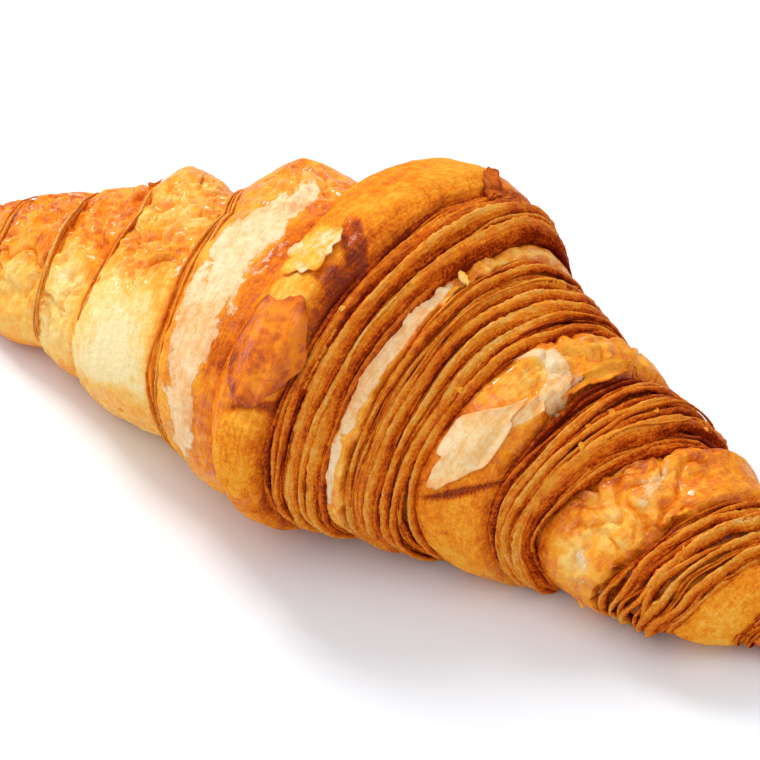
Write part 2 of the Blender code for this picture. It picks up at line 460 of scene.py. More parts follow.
# Each wrap comes out from under the one nearer the middle. skin: (position, rise) of its smooth part, from its
# hidden start; ridge: floor of its fanned layers, up to its cut edge; ropes: (share of the ridge, width, rise,
# bake) of each thick layer; fibres: how many thin ones wander between them.
wraps = {
    "centreWrap": {
        "skin": [(-6.8, -2.2), (-6.0, -0.9), (-4.4, 0.0), (0, 0.9), (4.0, 0.9), (6.2, -0.2)],
        "ridge": [(6.6, -3.6), (10, -2.6), (14.4, -2.8)],
        "ropes": [
            (0.06, 0.8, -1.4, 0.54), (0.16, 0.9, -0.9, 0.43), (0.29, 1.3, -0.5, 0.41), (0.39, 0.8, -1.2, 0.55),
            (0.52, 2.0, 0.0, 0.40), (0.64, 0.8, -1.0, 0.55), (0.77, 1.7, 0.1, 0.41), (0.88, 0.8, -0.9, 0.56),
            (0.96, 0.9, -0.8, 0.54),
        ],
        "fibres": 8,
    },
    "secondWrap": {
        "skin": [(11.5, -4.8), (13.7, -2.8), (14.4, -1.8), (15.1, -1.1), (16.6, -0.6)],
        "ridge": [(16.9, -2.3), (30.1, -2.5)],
        "ropes": [
            (0.03, 0.7, -0.7, 0.40), (0.09, 0.9, -0.3, 0.38), (0.17, 0.7, -0.7, 0.50), (0.25, 1.4, 0.1, 0.41),
            (0.33, 0.7, -0.8, 0.55), (0.40, 1.3, 0.2, 0.40), (0.48, 0.7, -0.6, 0.53), (0.56, 1.5, 0.2, 0.40),
            (0.65, 0.7, -0.8, 0.55), (0.73, 1.4, 0.1, 0.42), (0.81, 0.8, -0.7, 0.54), (0.89, 1.1, -0.2, 0.45),
            (0.96, 0.8, -1.0, 0.56),
        ],
        "fibres": 13,
    },
    "thirdWrap": {
        "skin": [(26.5, -4.8), (29.2, -2.2), (30.0, -0.8), (31.0, 0.2), (33.5, 0.6), (37.2, 0.3)],
        "ridge": [(37.6, -2.4), (48.0, -2.6)],
        "ropes": [
            (0.05, 0.7, -1.4, 0.62), (0.13, 1.0, -0.9, 0.50), (0.22, 0.7, -1.0, 0.56), (0.30, 1.2, -0.4, 0.44),
            (0.39, 0.7, -0.9, 0.54), (0.47, 1.1, -0.3, 0.44), (0.56, 0.7, -0.8, 0.52), (0.69, 2.7, 0.3, 0.36),
            (0.81, 0.8, -1.2, 0.57), (0.88, 0.8, -1.6, 0.66), (0.95, 0.9, -1.4, 0.55),
        ],
        "fibres": 8,
    },
    "fourthWrap": {
        "skin": [(45, -4.8), (47.6, -2.9), (48.5, -1.6), (49.8, -0.4), (53, 0.2), (56.7, 0.0)],
        "ridge": [(57.1, -1.9), (65.4, -2.3)],
        "ropes": [
            (0.05, 0.7, -0.5, 0.40), (0.14, 1.0, -0.2, 0.35), (0.24, 0.7, -0.6, 0.46), (0.34, 1.2, 0.0, 0.34),
            (0.44, 0.7, -0.6, 0.46), (0.54, 1.2, 0.1, 0.34), (0.65, 0.7, -0.6, 0.46), (0.76, 1.3, 0.0, 0.35),
            (0.86, 0.7, -0.6, 0.48), (0.95, 0.9, -0.6, 0.44),
        ],
        "fibres": 7,
    },
    "rightTip": {
        "skin": [(61.5, -4.2), (64.4, -2.2), (65.3, -1.1), (66.8, -0.2), (69.5, 0.4), (71.8, 0.1)],
        "ridge": [(72.1, -1.2), (74.4, -1.6)],
        "ropes": [(0.2, 0.8, -0.3, 0.42), (0.65, 0.8, -0.6, 0.46)],
        "fibres": 2,
    },
    "rightEnd": {
        "skin": [(71.0, -3.4), (73.6, -1.8), (74.6, -0.9), (76, -0.3), (80, 0.2), (84.5, 0.0)],
    },
    "leftSecondWrap": {
        "skin": [(-2.2, -5.2), (-5.2, -3.2), (-6.6, -2.0), (-9, -0.8), (-13, 0.5), (-17, 0.3), (-21.6, -0.2)],
        "ridge": [(-21.8, -0.8), (-24.3, -1.3)],
        "ropes": [(0.12, 0.4, -0.3, 0.28), (0.48, 0.4, -0.5, 0.32), (0.84, 0.45, -0.8, 0.30)],
        "fibres": 2,
    },
    "leftThirdWrap": {
        "skin": [(-20, -4.0), (-23.4, -1.7), (-25.0, -1.0), (-28, -0.3), (-33, 0.6), (-38, 0.7), (-43.8, 0.1)],
        "ridge": [(-44.0, -0.3), (-45.3, -0.9)],
        "ropes": [(0.3, 0.35, -0.1, 0.24), (0.8, 0.4, -0.5, 0.28)],
        "fibres": 1,
    },
    "leftFourthWrap": {
        "skin": [(-41.5, -3.0), (-44.6, -1.1), (-46.2, -0.6), (-49, -0.1), (-54.2, 0.1)],
        "ridge": [(-54.5, -0.3), (-55.8, -0.9)],
        "ropes": [(0.3, 0.35, 0.0, 0.28), (0.8, 0.4, -0.5, 0.32)],
        "fibres": 1,
    },
    "leftFifthWrap": {
        "skin": [(-52, -3.0), (-55.0, -1.1), (-56.8, -0.5), (-61, 0.2), (-67.4, 0.1)],
        "ridge": [(-67.6, -0.3), (-68.8, -0.8)],
        "ropes": [(0.5, 0.4, -0.1, 0.32)],
        "fibres": 1,
    },
    "leftTip": {
        "skin": [(-65, -2.6), (-68.4, -0.9), (-70.5, -0.2), (-78, 0.3), (-86, 0.2), (-90, 0.0)],
    },
}
spacing = {"along": 0.3, "around": 0.40, "layers": 0.52, "underLayers": 0.7, "leastAround": 210}


def sideOf(wrap):
    return 1 if wrap["skin"][-1][0] > wrap["skin"][0][0] else -1


def skinRise(wrap, along, angle, seed):
    # height of a wrap's body over the loaf
    side = sideOf(wrap)
    points = wrap["skin"] + wrap.get("ridge", [])
    keys = np.array([p[0] for p in points]) * side
    rises = np.array([p[1] for p in points])
    edge = wrap["skin"][-1][0] * side
    onSkin = smooth((edge - 1.6 - along * side) / 1.2)
    # the skin's torn end is ragged
    ragged = 0.30 * ripple(0 * along, angle, 30, 37, seed + 3) + 0.22 * ripple(0 * along, angle, 30, 101, seed + 4)
    place = along * side + ragged * (1 - onSkin)
    rise = np.interp(place, keys, rises)
    smoothed = sum(np.interp(place + shift, keys, rises) for shift in (-1.2, -0.6, 0.6, 1.2))
    rise = rise * (1 - onSkin) + (rise + smoothed) / 5 * onSkin
    rise = rise + 0.45 * ripple(along, angle, 6.5, 17, seed) * onSkin
    rise = rise + 0.12 * ripple(along, angle, 2.4, 19, seed + 1) * onSkin
    return rise + 0.09 * ripple(along, angle, 0.9, 15, seed + 2) * onSkin


def ringCount(thickest, room):
    return max(spacing["leastAround"], int(2 * np.pi * thickest * 0.98 / room))


def wrapBody(name, wrap, seed):
    skin, ridge = wrap["skin"], wrap.get("ridge", [])
    stops = [skin[0][0], skin[-1][0]]
    rows = np.linspace(*stops, max(24, int(abs(stops[1] - stops[0]) / spacing["along"])))
    if ridge:
        more = int(abs(ridge[-1][0] - ridge[0][0]) / spacing["underLayers"])
        rows = np.concatenate([rows, np.linspace(ridge[0][0], ridge[-1][0], max(3, more))])
    else:
        rows = rows[:-1]
    m = ringCount(loafSize(rows)[0].max(), spacing["around"])
    angles = -np.pi + 2 * np.pi * np.arange(m) / m
    along, angle = np.meshgrid(rows, angles, indexing="ij")
    rise = skinRise(wrap, along, angle, seed)
    points = toSpace(along, angle, rise).reshape(-1, 3)
    # both ends are closed on the axis
    first = toSpace(rows[0], angles, -7.0).mean(0)
    last = toSpace(rows[-1], angles, -7.0).mean(0) if ridge else toSpace(skin[-1][0], angles, 0.0).mean(0)
    points = np.concatenate([points, [first], [last]])
    n = len(rows)
    i, j = np.meshgrid(np.arange(n - 1), np.arange(m), indexing="ij")
    a, b = i * m + j, i * m + (j + 1) % m
    j = np.arange(m)
    faces = np.concatenate([
        np.stack([a, b, b + m], -1).reshape(-1, 3),
        np.stack([a, b + m, a + m], -1).reshape(-1, 3),
        np.stack([np.full(m, n * m), (j + 1) % m, j], -1),
        np.stack([np.full(m, n * m + 1), (n - 1) * m + j, (n - 1) * m + (j + 1) % m], -1),
    ])
    if sideOf(wrap) > 0:
        faces = faces[:, ::-1]
    values = {key: np.append(grid.ravel(), [0, 0]) for key, grid in (("along", along), ("angle", angle), ("rise", rise))}
    return meshPiece(name, points, faces, values)


def layerRings(name, wrap, seed):
    # the middle line of each fanned layer round the loaf, with its place and thickness, as a mesh of loops
    rng = np.random.default_rng(seed)
    start, end = wrap["ridge"][0][0], wrap["ridge"][-1][0]
    width = abs(end - start)
    layers = [(*rope, 0.6, 0.24) for rope in wrap["ropes"]]
    for k in range(wrap["fibres"]):
        share = (k + rng.uniform(0.15, 0.85)) / wrap["fibres"]
        under = np.interp(share, [r[0] for r in wrap["ropes"]], [r[2] for r in wrap["ropes"]])
        layers.append((share, rng.uniform(0.35, 0.7), under + rng.uniform(-0.5, 0.35), rng.uniform(0.30, 0.64), 0.9, 0.45))
    points, edges, outward = [], [], []
    values = {key: [] for key in ("along", "angle", "rise", "layerRadius", "layerBake")}
    at = 0
    for k, (share, size, rise, bake, roam, thins) in enumerate(layers):
        centre = start + (end - start) * share
        count = ringCount(loafSize(np.array([centre]))[0][0], spacing["layers"])
        angle = -np.pi + 2 * np.pi * np.arange(count) / count
        own = seed * 31 + 7 * k
        shift = ripple(0 * angle, angle, 30, 7, own) * roam + ripple(0 * angle, angle, 30, 23, own + 1) * roam * 0.35
        together = ripple(centre + 0 * angle, angle, 9, 8, seed + 5) * 0.75
        along = np.clip(centre + shift + together, min(start, end) - 0.2, max(start, end) + 0.3)
        radius = size * (0.55 + (0.12 + thins) * ripple(0 * angle, angle, 30, 9, own + 2))
        radius = np.maximum(radius + size * 0.09 * ripple(0 * angle, angle, 30, 41, own + 3), 0.12)
        crest = rise + 0.55 * ripple(along, angle, 7, 10, seed + 6) + 0.35 * ripple(0 * angle, angle, 30, 7, own + 4)
        crest = crest + 0.16 * ripple(0 * angle, angle, 30, 33, own + 5)
        middle = crest - radius * 1.3
        place = toSpace(along, angle, middle)
        place[:, 2] = np.maximum(place[:, 2], (radius + 0.25) * mm)
        away = toSpace(along, angle, middle + 1.0) - toSpace(along, angle, middle) + 1e-9
        points.append(place)
        outward.append(away / np.linalg.norm(away, axis=1, keepdims=True))
        edges.append(np.stack([np.arange(count), (np.arange(count) + 1) % count], -1) + at)
        baked = bake + 0.06 * rng.uniform(-1, 1) + 0.10 * ripple(0 * angle, angle, 30, 11, own + 6)
        for key, value in (("along", along), ("angle", angle), ("rise", middle), ("layerRadius", radius), ("layerBake", baked)):
            values[key].append(np.broadcast_to(value, (count,)))
        at += count
    points, edges, outward = (np.concatenate(part) for part in (points, edges, outward))
    mesh = bpy.data.meshes.new(name)
    mesh.from_pydata(points.tolist(), edges.tolist(), [])
    for key, value in values.items():
        writeValues(mesh, key, np.concatenate(value))
    mesh.attributes.new("outward", "FLOAT_VECTOR", "POINT").data.foreach_set("vector", outward.astype(np.float32).ravel())
    band = bpy.data.objects.new(name, mesh)
    bpy.context.scene.collection.objects.link(band)
    return band


def named(tree, name, kind="FLOAT"):
    return addNode(tree, "GeometryNodeInputNamedAttribute", {"Name": name}, data_type=kind).outputs["Attribute"]


def moveAlongNormal(tree, geometry, amount, selection=None):
    normal = addNode(tree, "GeometryNodeInputNormal").outputs[0]
    offset = addNode(tree, "ShaderNodeVectorMath", {0: normal, "Scale": amount}, operation="SCALE").outputs[0]
    inputs = {"Geometry": geometry, "Offset": offset}
    if selection is not None:
        inputs["Selection"] = selection
    return addNode(tree, "GeometryNodeSetPosition", inputs).outputs[0]


def finishTree(tree, geometry, given, result):
    real = addNode(tree, "GeometryNodeRealizeInstances", {"Geometry": geometry})
    made = addNode(tree, "GeometryNodeSetMaterial", {"Geometry": real.outputs[0], "Material": given.outputs["Material"]})
    tree.links.new(made.outputs[0], result.inputs[0])


def layerTree():
    # sweeps the section of a leaf of dough along each ring, then roughens it with streaks and grain
    tree, given, result = newTree(
        "fannedLayers",
        "GeometryNodeTree",
        [
            ("Rings", "NodeSocketGeometry", None),
            ("Section Points", "NodeSocketInt", 13),
            ("Section Crowding", "NodeSocketFloat", 0.4),
            ("Section Height", "NodeSocketFloat", 1.3),
            ("Section Taper", "NodeSocketFloat", 0.5),
            ("Section Lean", "NodeSocketFloat", 0.3),
            ("Streak Depth", "NodeSocketFloat", 0.00042),
            ("Grain Size", "NodeSocketFloat", 0.0009),
            ("Grain Depth", "NodeSocketFloat", 0.00038),
            ("Material", "NodeSocketMaterial", None),
        ],
        [("Layers", "NodeSocketGeometry")],
    )
    g = given.outputs
    curve = addNode(tree, "GeometryNodeMeshToCurve", {"Mesh": g["Rings"]})
    turned = addNode(
        tree, "GeometryNodeSetCurveNormal", {"Curve": curve.outputs[0], "Normal": named(tree, "outward", "FLOAT_VECTOR")},
        mode="FREE",
    )
    # the section's points crowd towards its crest, where it shows
    circle = addNode(tree, "GeometryNodeCurvePrimitiveCircle", {"Resolution": g["Section Points"], "Radius": 1.0})
    turn = product(tree, addNode(tree, "GeometryNodeInputIndex").outputs[0], 2 * math.pi)
    turn = maths(tree, "DIVIDE", turn, g["Section Points"])
    turn = maths(tree, "SUBTRACT", turn, product(tree, maths(tree, "SINE", turn), g["Section Crowding"]))
    up = maths(tree, "COSINE", turn)
    narrower = maths(tree, "SUBTRACT", 1.0, product(tree, up, g["Section Taper"]))
    aside = added(tree, product(tree, maths(tree, "SINE", turn), narrower), product(tree, up, g["Section Lean"]))
    outline = addNode(tree, "ShaderNodeCombineXYZ", {"X": product(tree, up, g["Section Height"]), "Y": aside})
    marked = addNode(tree, "GeometryNodeSetPosition", {"Geometry": circle.outputs[0], "Position": outline.outputs[0]}).outputs[0]
    corner = addNode(tree, "ShaderNodeSeparateXYZ", {0: addNode(tree, "GeometryNodeInputPosition").outputs[0]})
    for key, part in (("sectionUp", "X"), ("sectionSide", "Y")):
        marked = addNode(
            tree, "GeometryNodeStoreNamedAttribute", {"Geometry": marked, "Name": key, "Value": corner.outputs[part]},
            data_type="FLOAT", domain="POINT",
        ).outputs[0]
    radius = named(tree, "layerRadius")
    swept = addNode(
        tree, "GeometryNodeCurveToMesh",
        {"Curve": turned.outputs[0], "Profile Curve": marked, "Scale": product(tree, radius, mm)},
    )
    # streaks are long round the loaf and short across it
    streakPlace = addNode(
        tree, "ShaderNodeCombineXYZ",
        {
            "X": product(tree, added(tree, named(tree, "along"), product(tree, radius, named(tree, "sectionSide"))), 1.1),
            "Y": product(tree, named(tree, "angle"), 4.0),
            "Z": product(tree, added(tree, named(tree, "rise"), product(tree, radius, named(tree, "sectionUp"))), 1.1),
        },
    ).outputs[0]
    streaks = addNode(tree, "ShaderNodeTexNoise", {"Vector": streakPlace, "Scale": 1.0, "Detail": 2.0}).outputs[0]
    grains = addNode(tree, "ShaderNodeTexNoise", {"Scale": maths(tree, "DIVIDE", 1.0, g["Grain Size"]), "Detail": 1.0}).outputs[0]
    slim = maths(tree, "MINIMUM", radius, 1.0)
    moved = moveAlongNormal(tree, swept.outputs[0], product(tree, added(tree, streaks, -0.5), g["Streak Depth"], 2.0, slim))
    moved = moveAlongNormal(tree, moved, product(tree, added(tree, grains, -0.5), g["Grain Depth"], 2.0, slim))
    finishTree(tree, moved, given, result)
    return tree


layers = layerTree()
bodies, bands, seeds = {}, {}, {}
for number, (name, wrap) in enumerate(wraps.items()):
    seeds[name] = 100 + 7 * number
    bodies[name] = wrapBody(name, wrap, seeds[name])
    bodies[name].data.materials.append(skinCrust)
    if "ropes" in wrap:
        bands[name] = layerRings(name + "Layers", wrap, 300 + 13 * number)
        applyTree(bands[name], layers, {"Material": edgeCrust, "Section Lean": 0.3 * sideOf(wrap)})
report("wraps and their layers")

# how deep each point lies between its neighbours, from a grid unrolled from the loaf
relief = {"cell": 0.5, "columns": 240, "rows": 380, "reach": 1.5, "full": 1.8}


def gridPlace(along, angle):
    row = np.clip(((along + 95) / relief["cell"]).astype(int), 0, relief["rows"] - 1)
    column = ((angle / (2 * np.pi) * relief["columns"]).astype(int)) % relief["columns"]
    return row, column


top = np.full((relief["rows"], relief["columns"]), -9.0)
heights = {}
for piece in [*bodies.values(), *bands.values()]:
    mesh = piece.data
    along, angle, rise = (readValues(mesh, key) for key in ("along", "angle", "rise"))
    if "sectionUp" in mesh.attributes:
        radius = readValues(mesh, "layerRadius")
        rise = rise + radius * readValues(mesh, "sectionUp")
        along = along + radius * readValues(mesh, "sectionSide")
    heights[piece.name] = (along, angle, rise)
    np.maximum.at(top, gridPlace(along, angle), rise)
spread = top.copy()
for shift in range(1, int(relief["reach"] / relief["cell"]) + 1):
    spread[shift:] = np.maximum(spread[shift:], top[:-shift])
    spread[:-shift] = np.maximum(spread[:-shift], top[shift:])
spread = np.maximum(spread, np.maximum(np.roll(spread, 1, 1), np.roll(spread, -1, 1)))
padded = np.concatenate([spread[:1], spread, spread[-1:]])
spread = (padded[:-2] + 2 * padded[1:-1] + padded[2:]) / 4
for piece in [*bodies.values(), *bands.values()]:
    along, angle, rise = heights[piece.name]
    deep = np.clip((spread[gridPlace(along, angle)] - rise) / relief["full"], 0, 1)
    # painted crease shade: darker where a point lies deep between its neighbours
    writeValues(piece.data, "creaseshade", deep * np.where(along > -1, 1.0, 0.45))  # the creases are shallow on the left
report("crevices")

# Areas of the skin: at (mm from the thickest wrap, degrees from the top), reach (mm along, mm round), turn in
# degrees, and what the area takes there. soft blurs its outline; onEdge measures along the slanted edges.
areas = {
    "centreWrap": [
        {"at": (2, -12), "reach": (13, 30), "bake": 0.45, "gloss": 0.05, "soft": 0.5},
        {"at": (2.6, 14), "reach": (1.7, 6.0), "turn": -38, "bake": 0.78, "gloss": 0.4, "lift": -0.9, "soft": 0.4},
        {"at": (3.8, 26), "reach": (3.4, 2.2), "turn": 12, "bake": 0.68, "gloss": 0.5, "lift": -0.2, "soft": 0.3},
        {"at": (-5.4, 50), "reach": (4.6, 14), "bake": 0.50, "gloss": 0.3, "soft": 0.4},
        {"at": (4.6, 48), "reach": (2.6, 17), "bake": 0.76, "gloss": 0.3, "lift": -1.0, "soft": 0.5},
        {"at": (-2.0, 32), "reach": (3.6, 3.0), "bake": 0.30, "gloss": 0.05, "soft": 0.25, "lift": 0.3},
        {"at": (-0.8, 68), "reach": (4.4, 2.0), "turn": -10, "bake": 0.85, "gloss": 0.2, "lift": -0.7, "soft": 0.6},
        {"at": (-1.6, 84), "reach": (5.2, 9.0), "bake": 0.42, "gloss": 0.0, "soft": 0.2, "lift": 0.6},
        {"at": (-4.0, 122), "reach": (7, 12), "bake": 0.50, "gloss": 0.15, "soft": 0.4},
    ],
    "leftSecondWrap": [
        {"at": (-15, 30), "reach": (12, 60), "bake": 0.40, "gloss": 0.4, "soft": 0.5},
        {"at": (-8.8, 48), "reach": (4.2, 30), "bake": 0.56, "gloss": 0.4, "soft": 0.4},
        {"at": (-9.5, 86), "reach": (5, 14), "bake": 0.50, "gloss": 0.75, "soft": 0.4},
        {"at": (-16.6, 30), "reach": (9.5, 38), "turn": 5, "pale": 1.0, "gloss": 0.15, "soft": 1.0},
        {"at": (-15.6, 76), "reach": (5.4, 22), "pale": 0.95, "gloss": 0.2, "soft": 1.0},
        {"at": (-14, -26), "reach": (9, 15), "bake": 0.40, "gloss": 0.9, "blister": 1.0, "soft": 0.5},
    ],
    "leftThirdWrap": [
        {"at": (-30, 30), "reach": (14, 60), "bake": 0.34, "gloss": 0.5, "soft": 0.5},
        {"at": (-34, 80), "reach": (13, 20), "bake": 0.05, "gloss": 0.5, "soft": 0.8},
        {"at": (-38, 56), "reach": (8, 10), "bake": 0.10, "gloss": 0.4, "soft": 0.9},
        {"at": (-35, 74), "reach": (11, 17), "turn": 12, "bake": -0.06, "soft": 1.2},
        {"at": (-34, -4), "reach": (10, 17), "bake": 0.30, "gloss": 0.95, "blister": 1.0, "soft": 0.5},
        {"at": (-34, 22), "reach": (6, 5), "bake": 0.44, "gloss": 0.9, "blister": 1.2, "soft": 0.6},
        {"at": (-30, 108), "reach": (12, 8), "bake": 0.26, "gloss": 0.6, "soft": 0.7},
    ],
    "leftFourthWrap": [
        {"at": (-50, 10), "reach": (6, 22), "bake": 0.46, "gloss": 0.9, "blister": 1.0, "soft": 0.5},
        {"at": (-50, 70), "reach": (7, 13), "bake": 0.13, "gloss": 0.5, "soft": 0.7},
    ],
    "leftFifthWrap": [
        {"at": (-61, 5), "reach": (8, 18), "bake": 0.48, "gloss": 0.9, "blister": 1.0, "soft": 0.5},
        {"at": (-59, 78), "reach": (8, 10), "bake": 0.18, "gloss": 0.3, "soft": 0.6},
    ],
    "leftTip": [
        {"at": (-78, 0), "reach": (12, 16), "bake": 0.52, "gloss": 0.65, "blister": 0.7, "soft": 0.5},
    ],
    "secondWrap": [
        {"at": (15.5, 40), "reach": (9, 60), "bake": 0.32, "gloss": 0.8, "soft": 0.3, "onEdge": True},
        {"at": (16.4, -6), "reach": (3.0, 10), "bake": 0.28, "gloss": 0.9, "blister": 0.6, "soft": 0.5, "onEdge": True},
        {"at": (15.5, 38), "reach": (0.9, 18), "pale": 0.9, "gloss": 0.2, "soft": 0.8, "onEdge": True},
        {"at": (15.4, 86), "reach": (0.9, 13), "pale": 0.85, "gloss": 0.2, "soft": 0.9, "onEdge": True},
    ],
    "thirdWrap": [
        {"at": (36, -20), "reach": (8, 14), "bake": 0.44, "gloss": 0.6, "blister": 0.9, "soft": 0.5},
        {"at": (36, -16), "reach": (6, 10), "bake": 0.42, "pale": 0.28, "gloss": 0.6, "blister": 0.5, "soft": 0.6},
        {"at": (29.7, 15), "reach": (4.5, 8.4), "turn": 22, "bake": 0.20, "pale": 0.8, "gloss": 0.3, "soft": 0.25, "lift": 0.15},
        {"at": (28.2, 18), "reach": (3.3, 6.6), "turn": 22, "bake": 0.29, "pale": -0.6, "gloss": 0.85, "soft": 0.14, "lift": -0.35},
        {"at": (27.6, 86), "reach": (7, 13), "bake": 0.44, "gloss": 0.05, "soft": 0.4, "lift": 0.3},
        # a narrow crack under the beige flake's lower edge, sunk and painted dark as shade
        {"at": (28.0, 66), "reach": (6.0, 0.6), "turn": -38, "bake": 0.84, "gloss": 0.2, "soft": 0.4, "lift": -0.6},
    ],
    "fourthWrap": [
        {"at": (50, 20), "reach": (8, 26), "bake": 0.46, "gloss": 0.9, "blister": 1.0, "soft": 0.4},
        {"at": (45.8, 72), "reach": (5.0, 9.0), "bake": 0.20, "pale": 0.46, "gloss": 0.9, "blister": 0.7, "soft": 1.0},
        {"at": (49.6, 42), "reach": (6.0, 8.0), "bake": 0.24, "pale": 0.38, "gloss": 0.95, "soft": 1.0},
        {"at": (52.0, 8), "reach": (3.0, 9.0), "bake": 0.30, "pale": 0.38, "gloss": 0.95, "soft": 1.0},
    ],
    "rightTip": [
        {"at": (68, 60), "reach": (14, 24), "bake": 0.37, "gloss": 0.0, "soft": 0.4},
    ],
}


def areaMask(area, x, angle, along):
    # 1 inside the area, 0 outside
    here = along if area.get("onEdge") else x
    round_ = (np.degrees(angle) - area["at"][1] + 180) % 360 - 180
    round_ = np.radians(round_) * loafSize(along)[0]
    turn = math.radians(area.get("turn", 0))
    ahead = here - area["at"][0]
    a = ahead * math.cos(turn) + round_ * math.sin(turn)
    b = round_ * math.cos(turn) - ahead * math.sin(turn)
    away = np.hypot(a / area["reach"][0], b / area["reach"][1])
    away = away + 0.10 * ripple(along, angle, 5, 23, 901) + 0.07 * ripple(along, angle, 1.8, 61, 902)
    return smooth((1 - away) / area.get("soft", 0.3) + (0.5 if area.get("soft", 0.3) < 0.9 else 0.0))


def paint(name, body):
    along, angle, rise = heights[name]
    points = readPoints(body.data)
    x = points[:, 0] / mm - acrossLoaf
    values = {
        "bake": 0.46 + 0.08 * ripple(along, angle, 11, 13, 71) + 0.05 * ripple(along, angle, 4, 31, 72),
        "pale": 0 * x,
        "gloss": 0 * x + 0.5,
        "blister": 0 * x,
    }
    lift = 0 * x
    for area in areas.get(name, []):
        mask = areaMask(area, x, angle, along)
        for key in values:
            if key in area:
                values[key] = values[key] * (1 - mask) + area[key] * mask
        lift = lift + area.get("lift", 0) * mask
    for key, value in values.items():
        writeValues(body.data, key, value)
    outwards = toSpace(along, angle, rise + 1.0) - toSpace(along, angle, rise)
    body.data.vertices.foreach_set("co", (points + outwards * lift[:, None]).astype(np.float32).ravel())
    body.data.update()


for name, body in bodies.items():
    paint(name, body)
for name, band in bands.items():
    mesh = band.data
    along, angle, rise = heights[band.name]
    up = readValues(mesh, "sectionUp") / 1.3
    # painted crease shade for the layers: deep between neighbours and on their lower flanks
    creaseshade = np.clip(0.9 * readValues(mesh, "creaseshade") + 0.2 * (1 - up) - 0.06, 0, 1)
    shade = np.where(along > 0, 1.0, 0.35)  # the left edges are thin golden skin
    creaseshade = creaseshade * np.where(along > 0, 1.0, 0.3)
    behind = smooth((math.radians(-8) - angle) / 0.6) * smooth((angle + 2.2) / 0.5)
    # each layer's flanks are painted darker than its crest, as painted shade
    bake = readValues(mesh, "layerBake") - 0.07 + 0.22 * shade * (1 - smooth((up + 0.1) / 1.0)) + 0.05 * behind * (along > 0)
    for key, value in (("creaseshade", creaseshade), ("bake", bake), ("gloss", 0.2 * up.clip(0, 1)), ("along", along), ("rise", rise), ("pale", 0.0)):
        writeValues(mesh, key, value)
report("paint")


def reliefTree():
    # blisters and wrinkles where the glaze bubbled, and grain everywhere
    tree, given, result = newTree(
        "crustRelief",
        "GeometryNodeTree",
        [
            ("Skin", "NodeSocketGeometry", None),
            ("Blister Size", "NodeSocketFloat", 0.0036),
            ("Blister Height", "NodeSocketFloat", 0.0007),
            ("Wrinkle Size", "NodeSocketFloat", 0.007),
            ("Wrinkle Height", "NodeSocketFloat", 0.0012),
            ("Dimple Size", "NodeSocketFloat", 0.0035),
            ("Dimple Height", "NodeSocketFloat", 0.00016),
            ("Grain Size", "NodeSocketFloat", 0.0011),
            ("Grain Height", "NodeSocketFloat", 0.00014),
            ("Base", "NodeSocketFloat", 0.0008),
            ("Material", "NodeSocketMaterial", None),
        ],
        [("Skin", "NodeSocketGeometry")],
    )
    g = given.outputs
    bubbles = addNode(
        tree, "ShaderNodeTexVoronoi", {"Scale": maths(tree, "DIVIDE", 1.0, g["Blister Size"]), "Smoothness": 0.5},
        feature="SMOOTH_F1",
    ).outputs["Distance"]
    bubbles = mapRange(tree, bubbles, 0.15, 0.6, 1.0, 0.0)

    def waves(size, detail, distortion=0.0):
        inputs = {"Scale": maths(tree, "DIVIDE", 1.0, g[size]), "Detail": detail, "Distortion": distortion}
        return addNode(tree, "ShaderNodeTexNoise", inputs).outputs[0]

    folds = maths(tree, "ABSOLUTE", added(tree, waves("Wrinkle Size", 1.6, 0.9), -0.5))
    folds = maths(tree, "SUBTRACT", 1.0, maths(tree, "MINIMUM", product(tree, folds, 10.0), 1.0))
    puffed = added(tree, product(tree, bubbles, g["Blister Height"]), product(tree, folds, g["Wrinkle Height"]))
    total = added(
        tree,
        product(tree, puffed, named(tree, "blister")),
        product(tree, added(tree, waves("Dimple Size", 2.0), -0.5), g["Dimple Height"], 2.0),
        product(tree, added(tree, waves("Grain Size", 2.0), -0.5), g["Grain Height"], 2.0),
    )
    above = addNode(tree, "ShaderNodeSeparateXYZ", {0: addNode(tree, "GeometryNodeInputPosition").outputs[0]}).outputs["Z"]
    moved = moveAlongNormal(tree, g["Skin"], total, maths(tree, "GREATER_THAN", above, g["Base"]))
    finishTree(tree, moved, given, result)
    return tree


reliefOfSkin = reliefTree()
for body in bodies.values():
    applyTree(body, reliefOfSkin, {"Material": skinCrust})
report("blisters and grain")

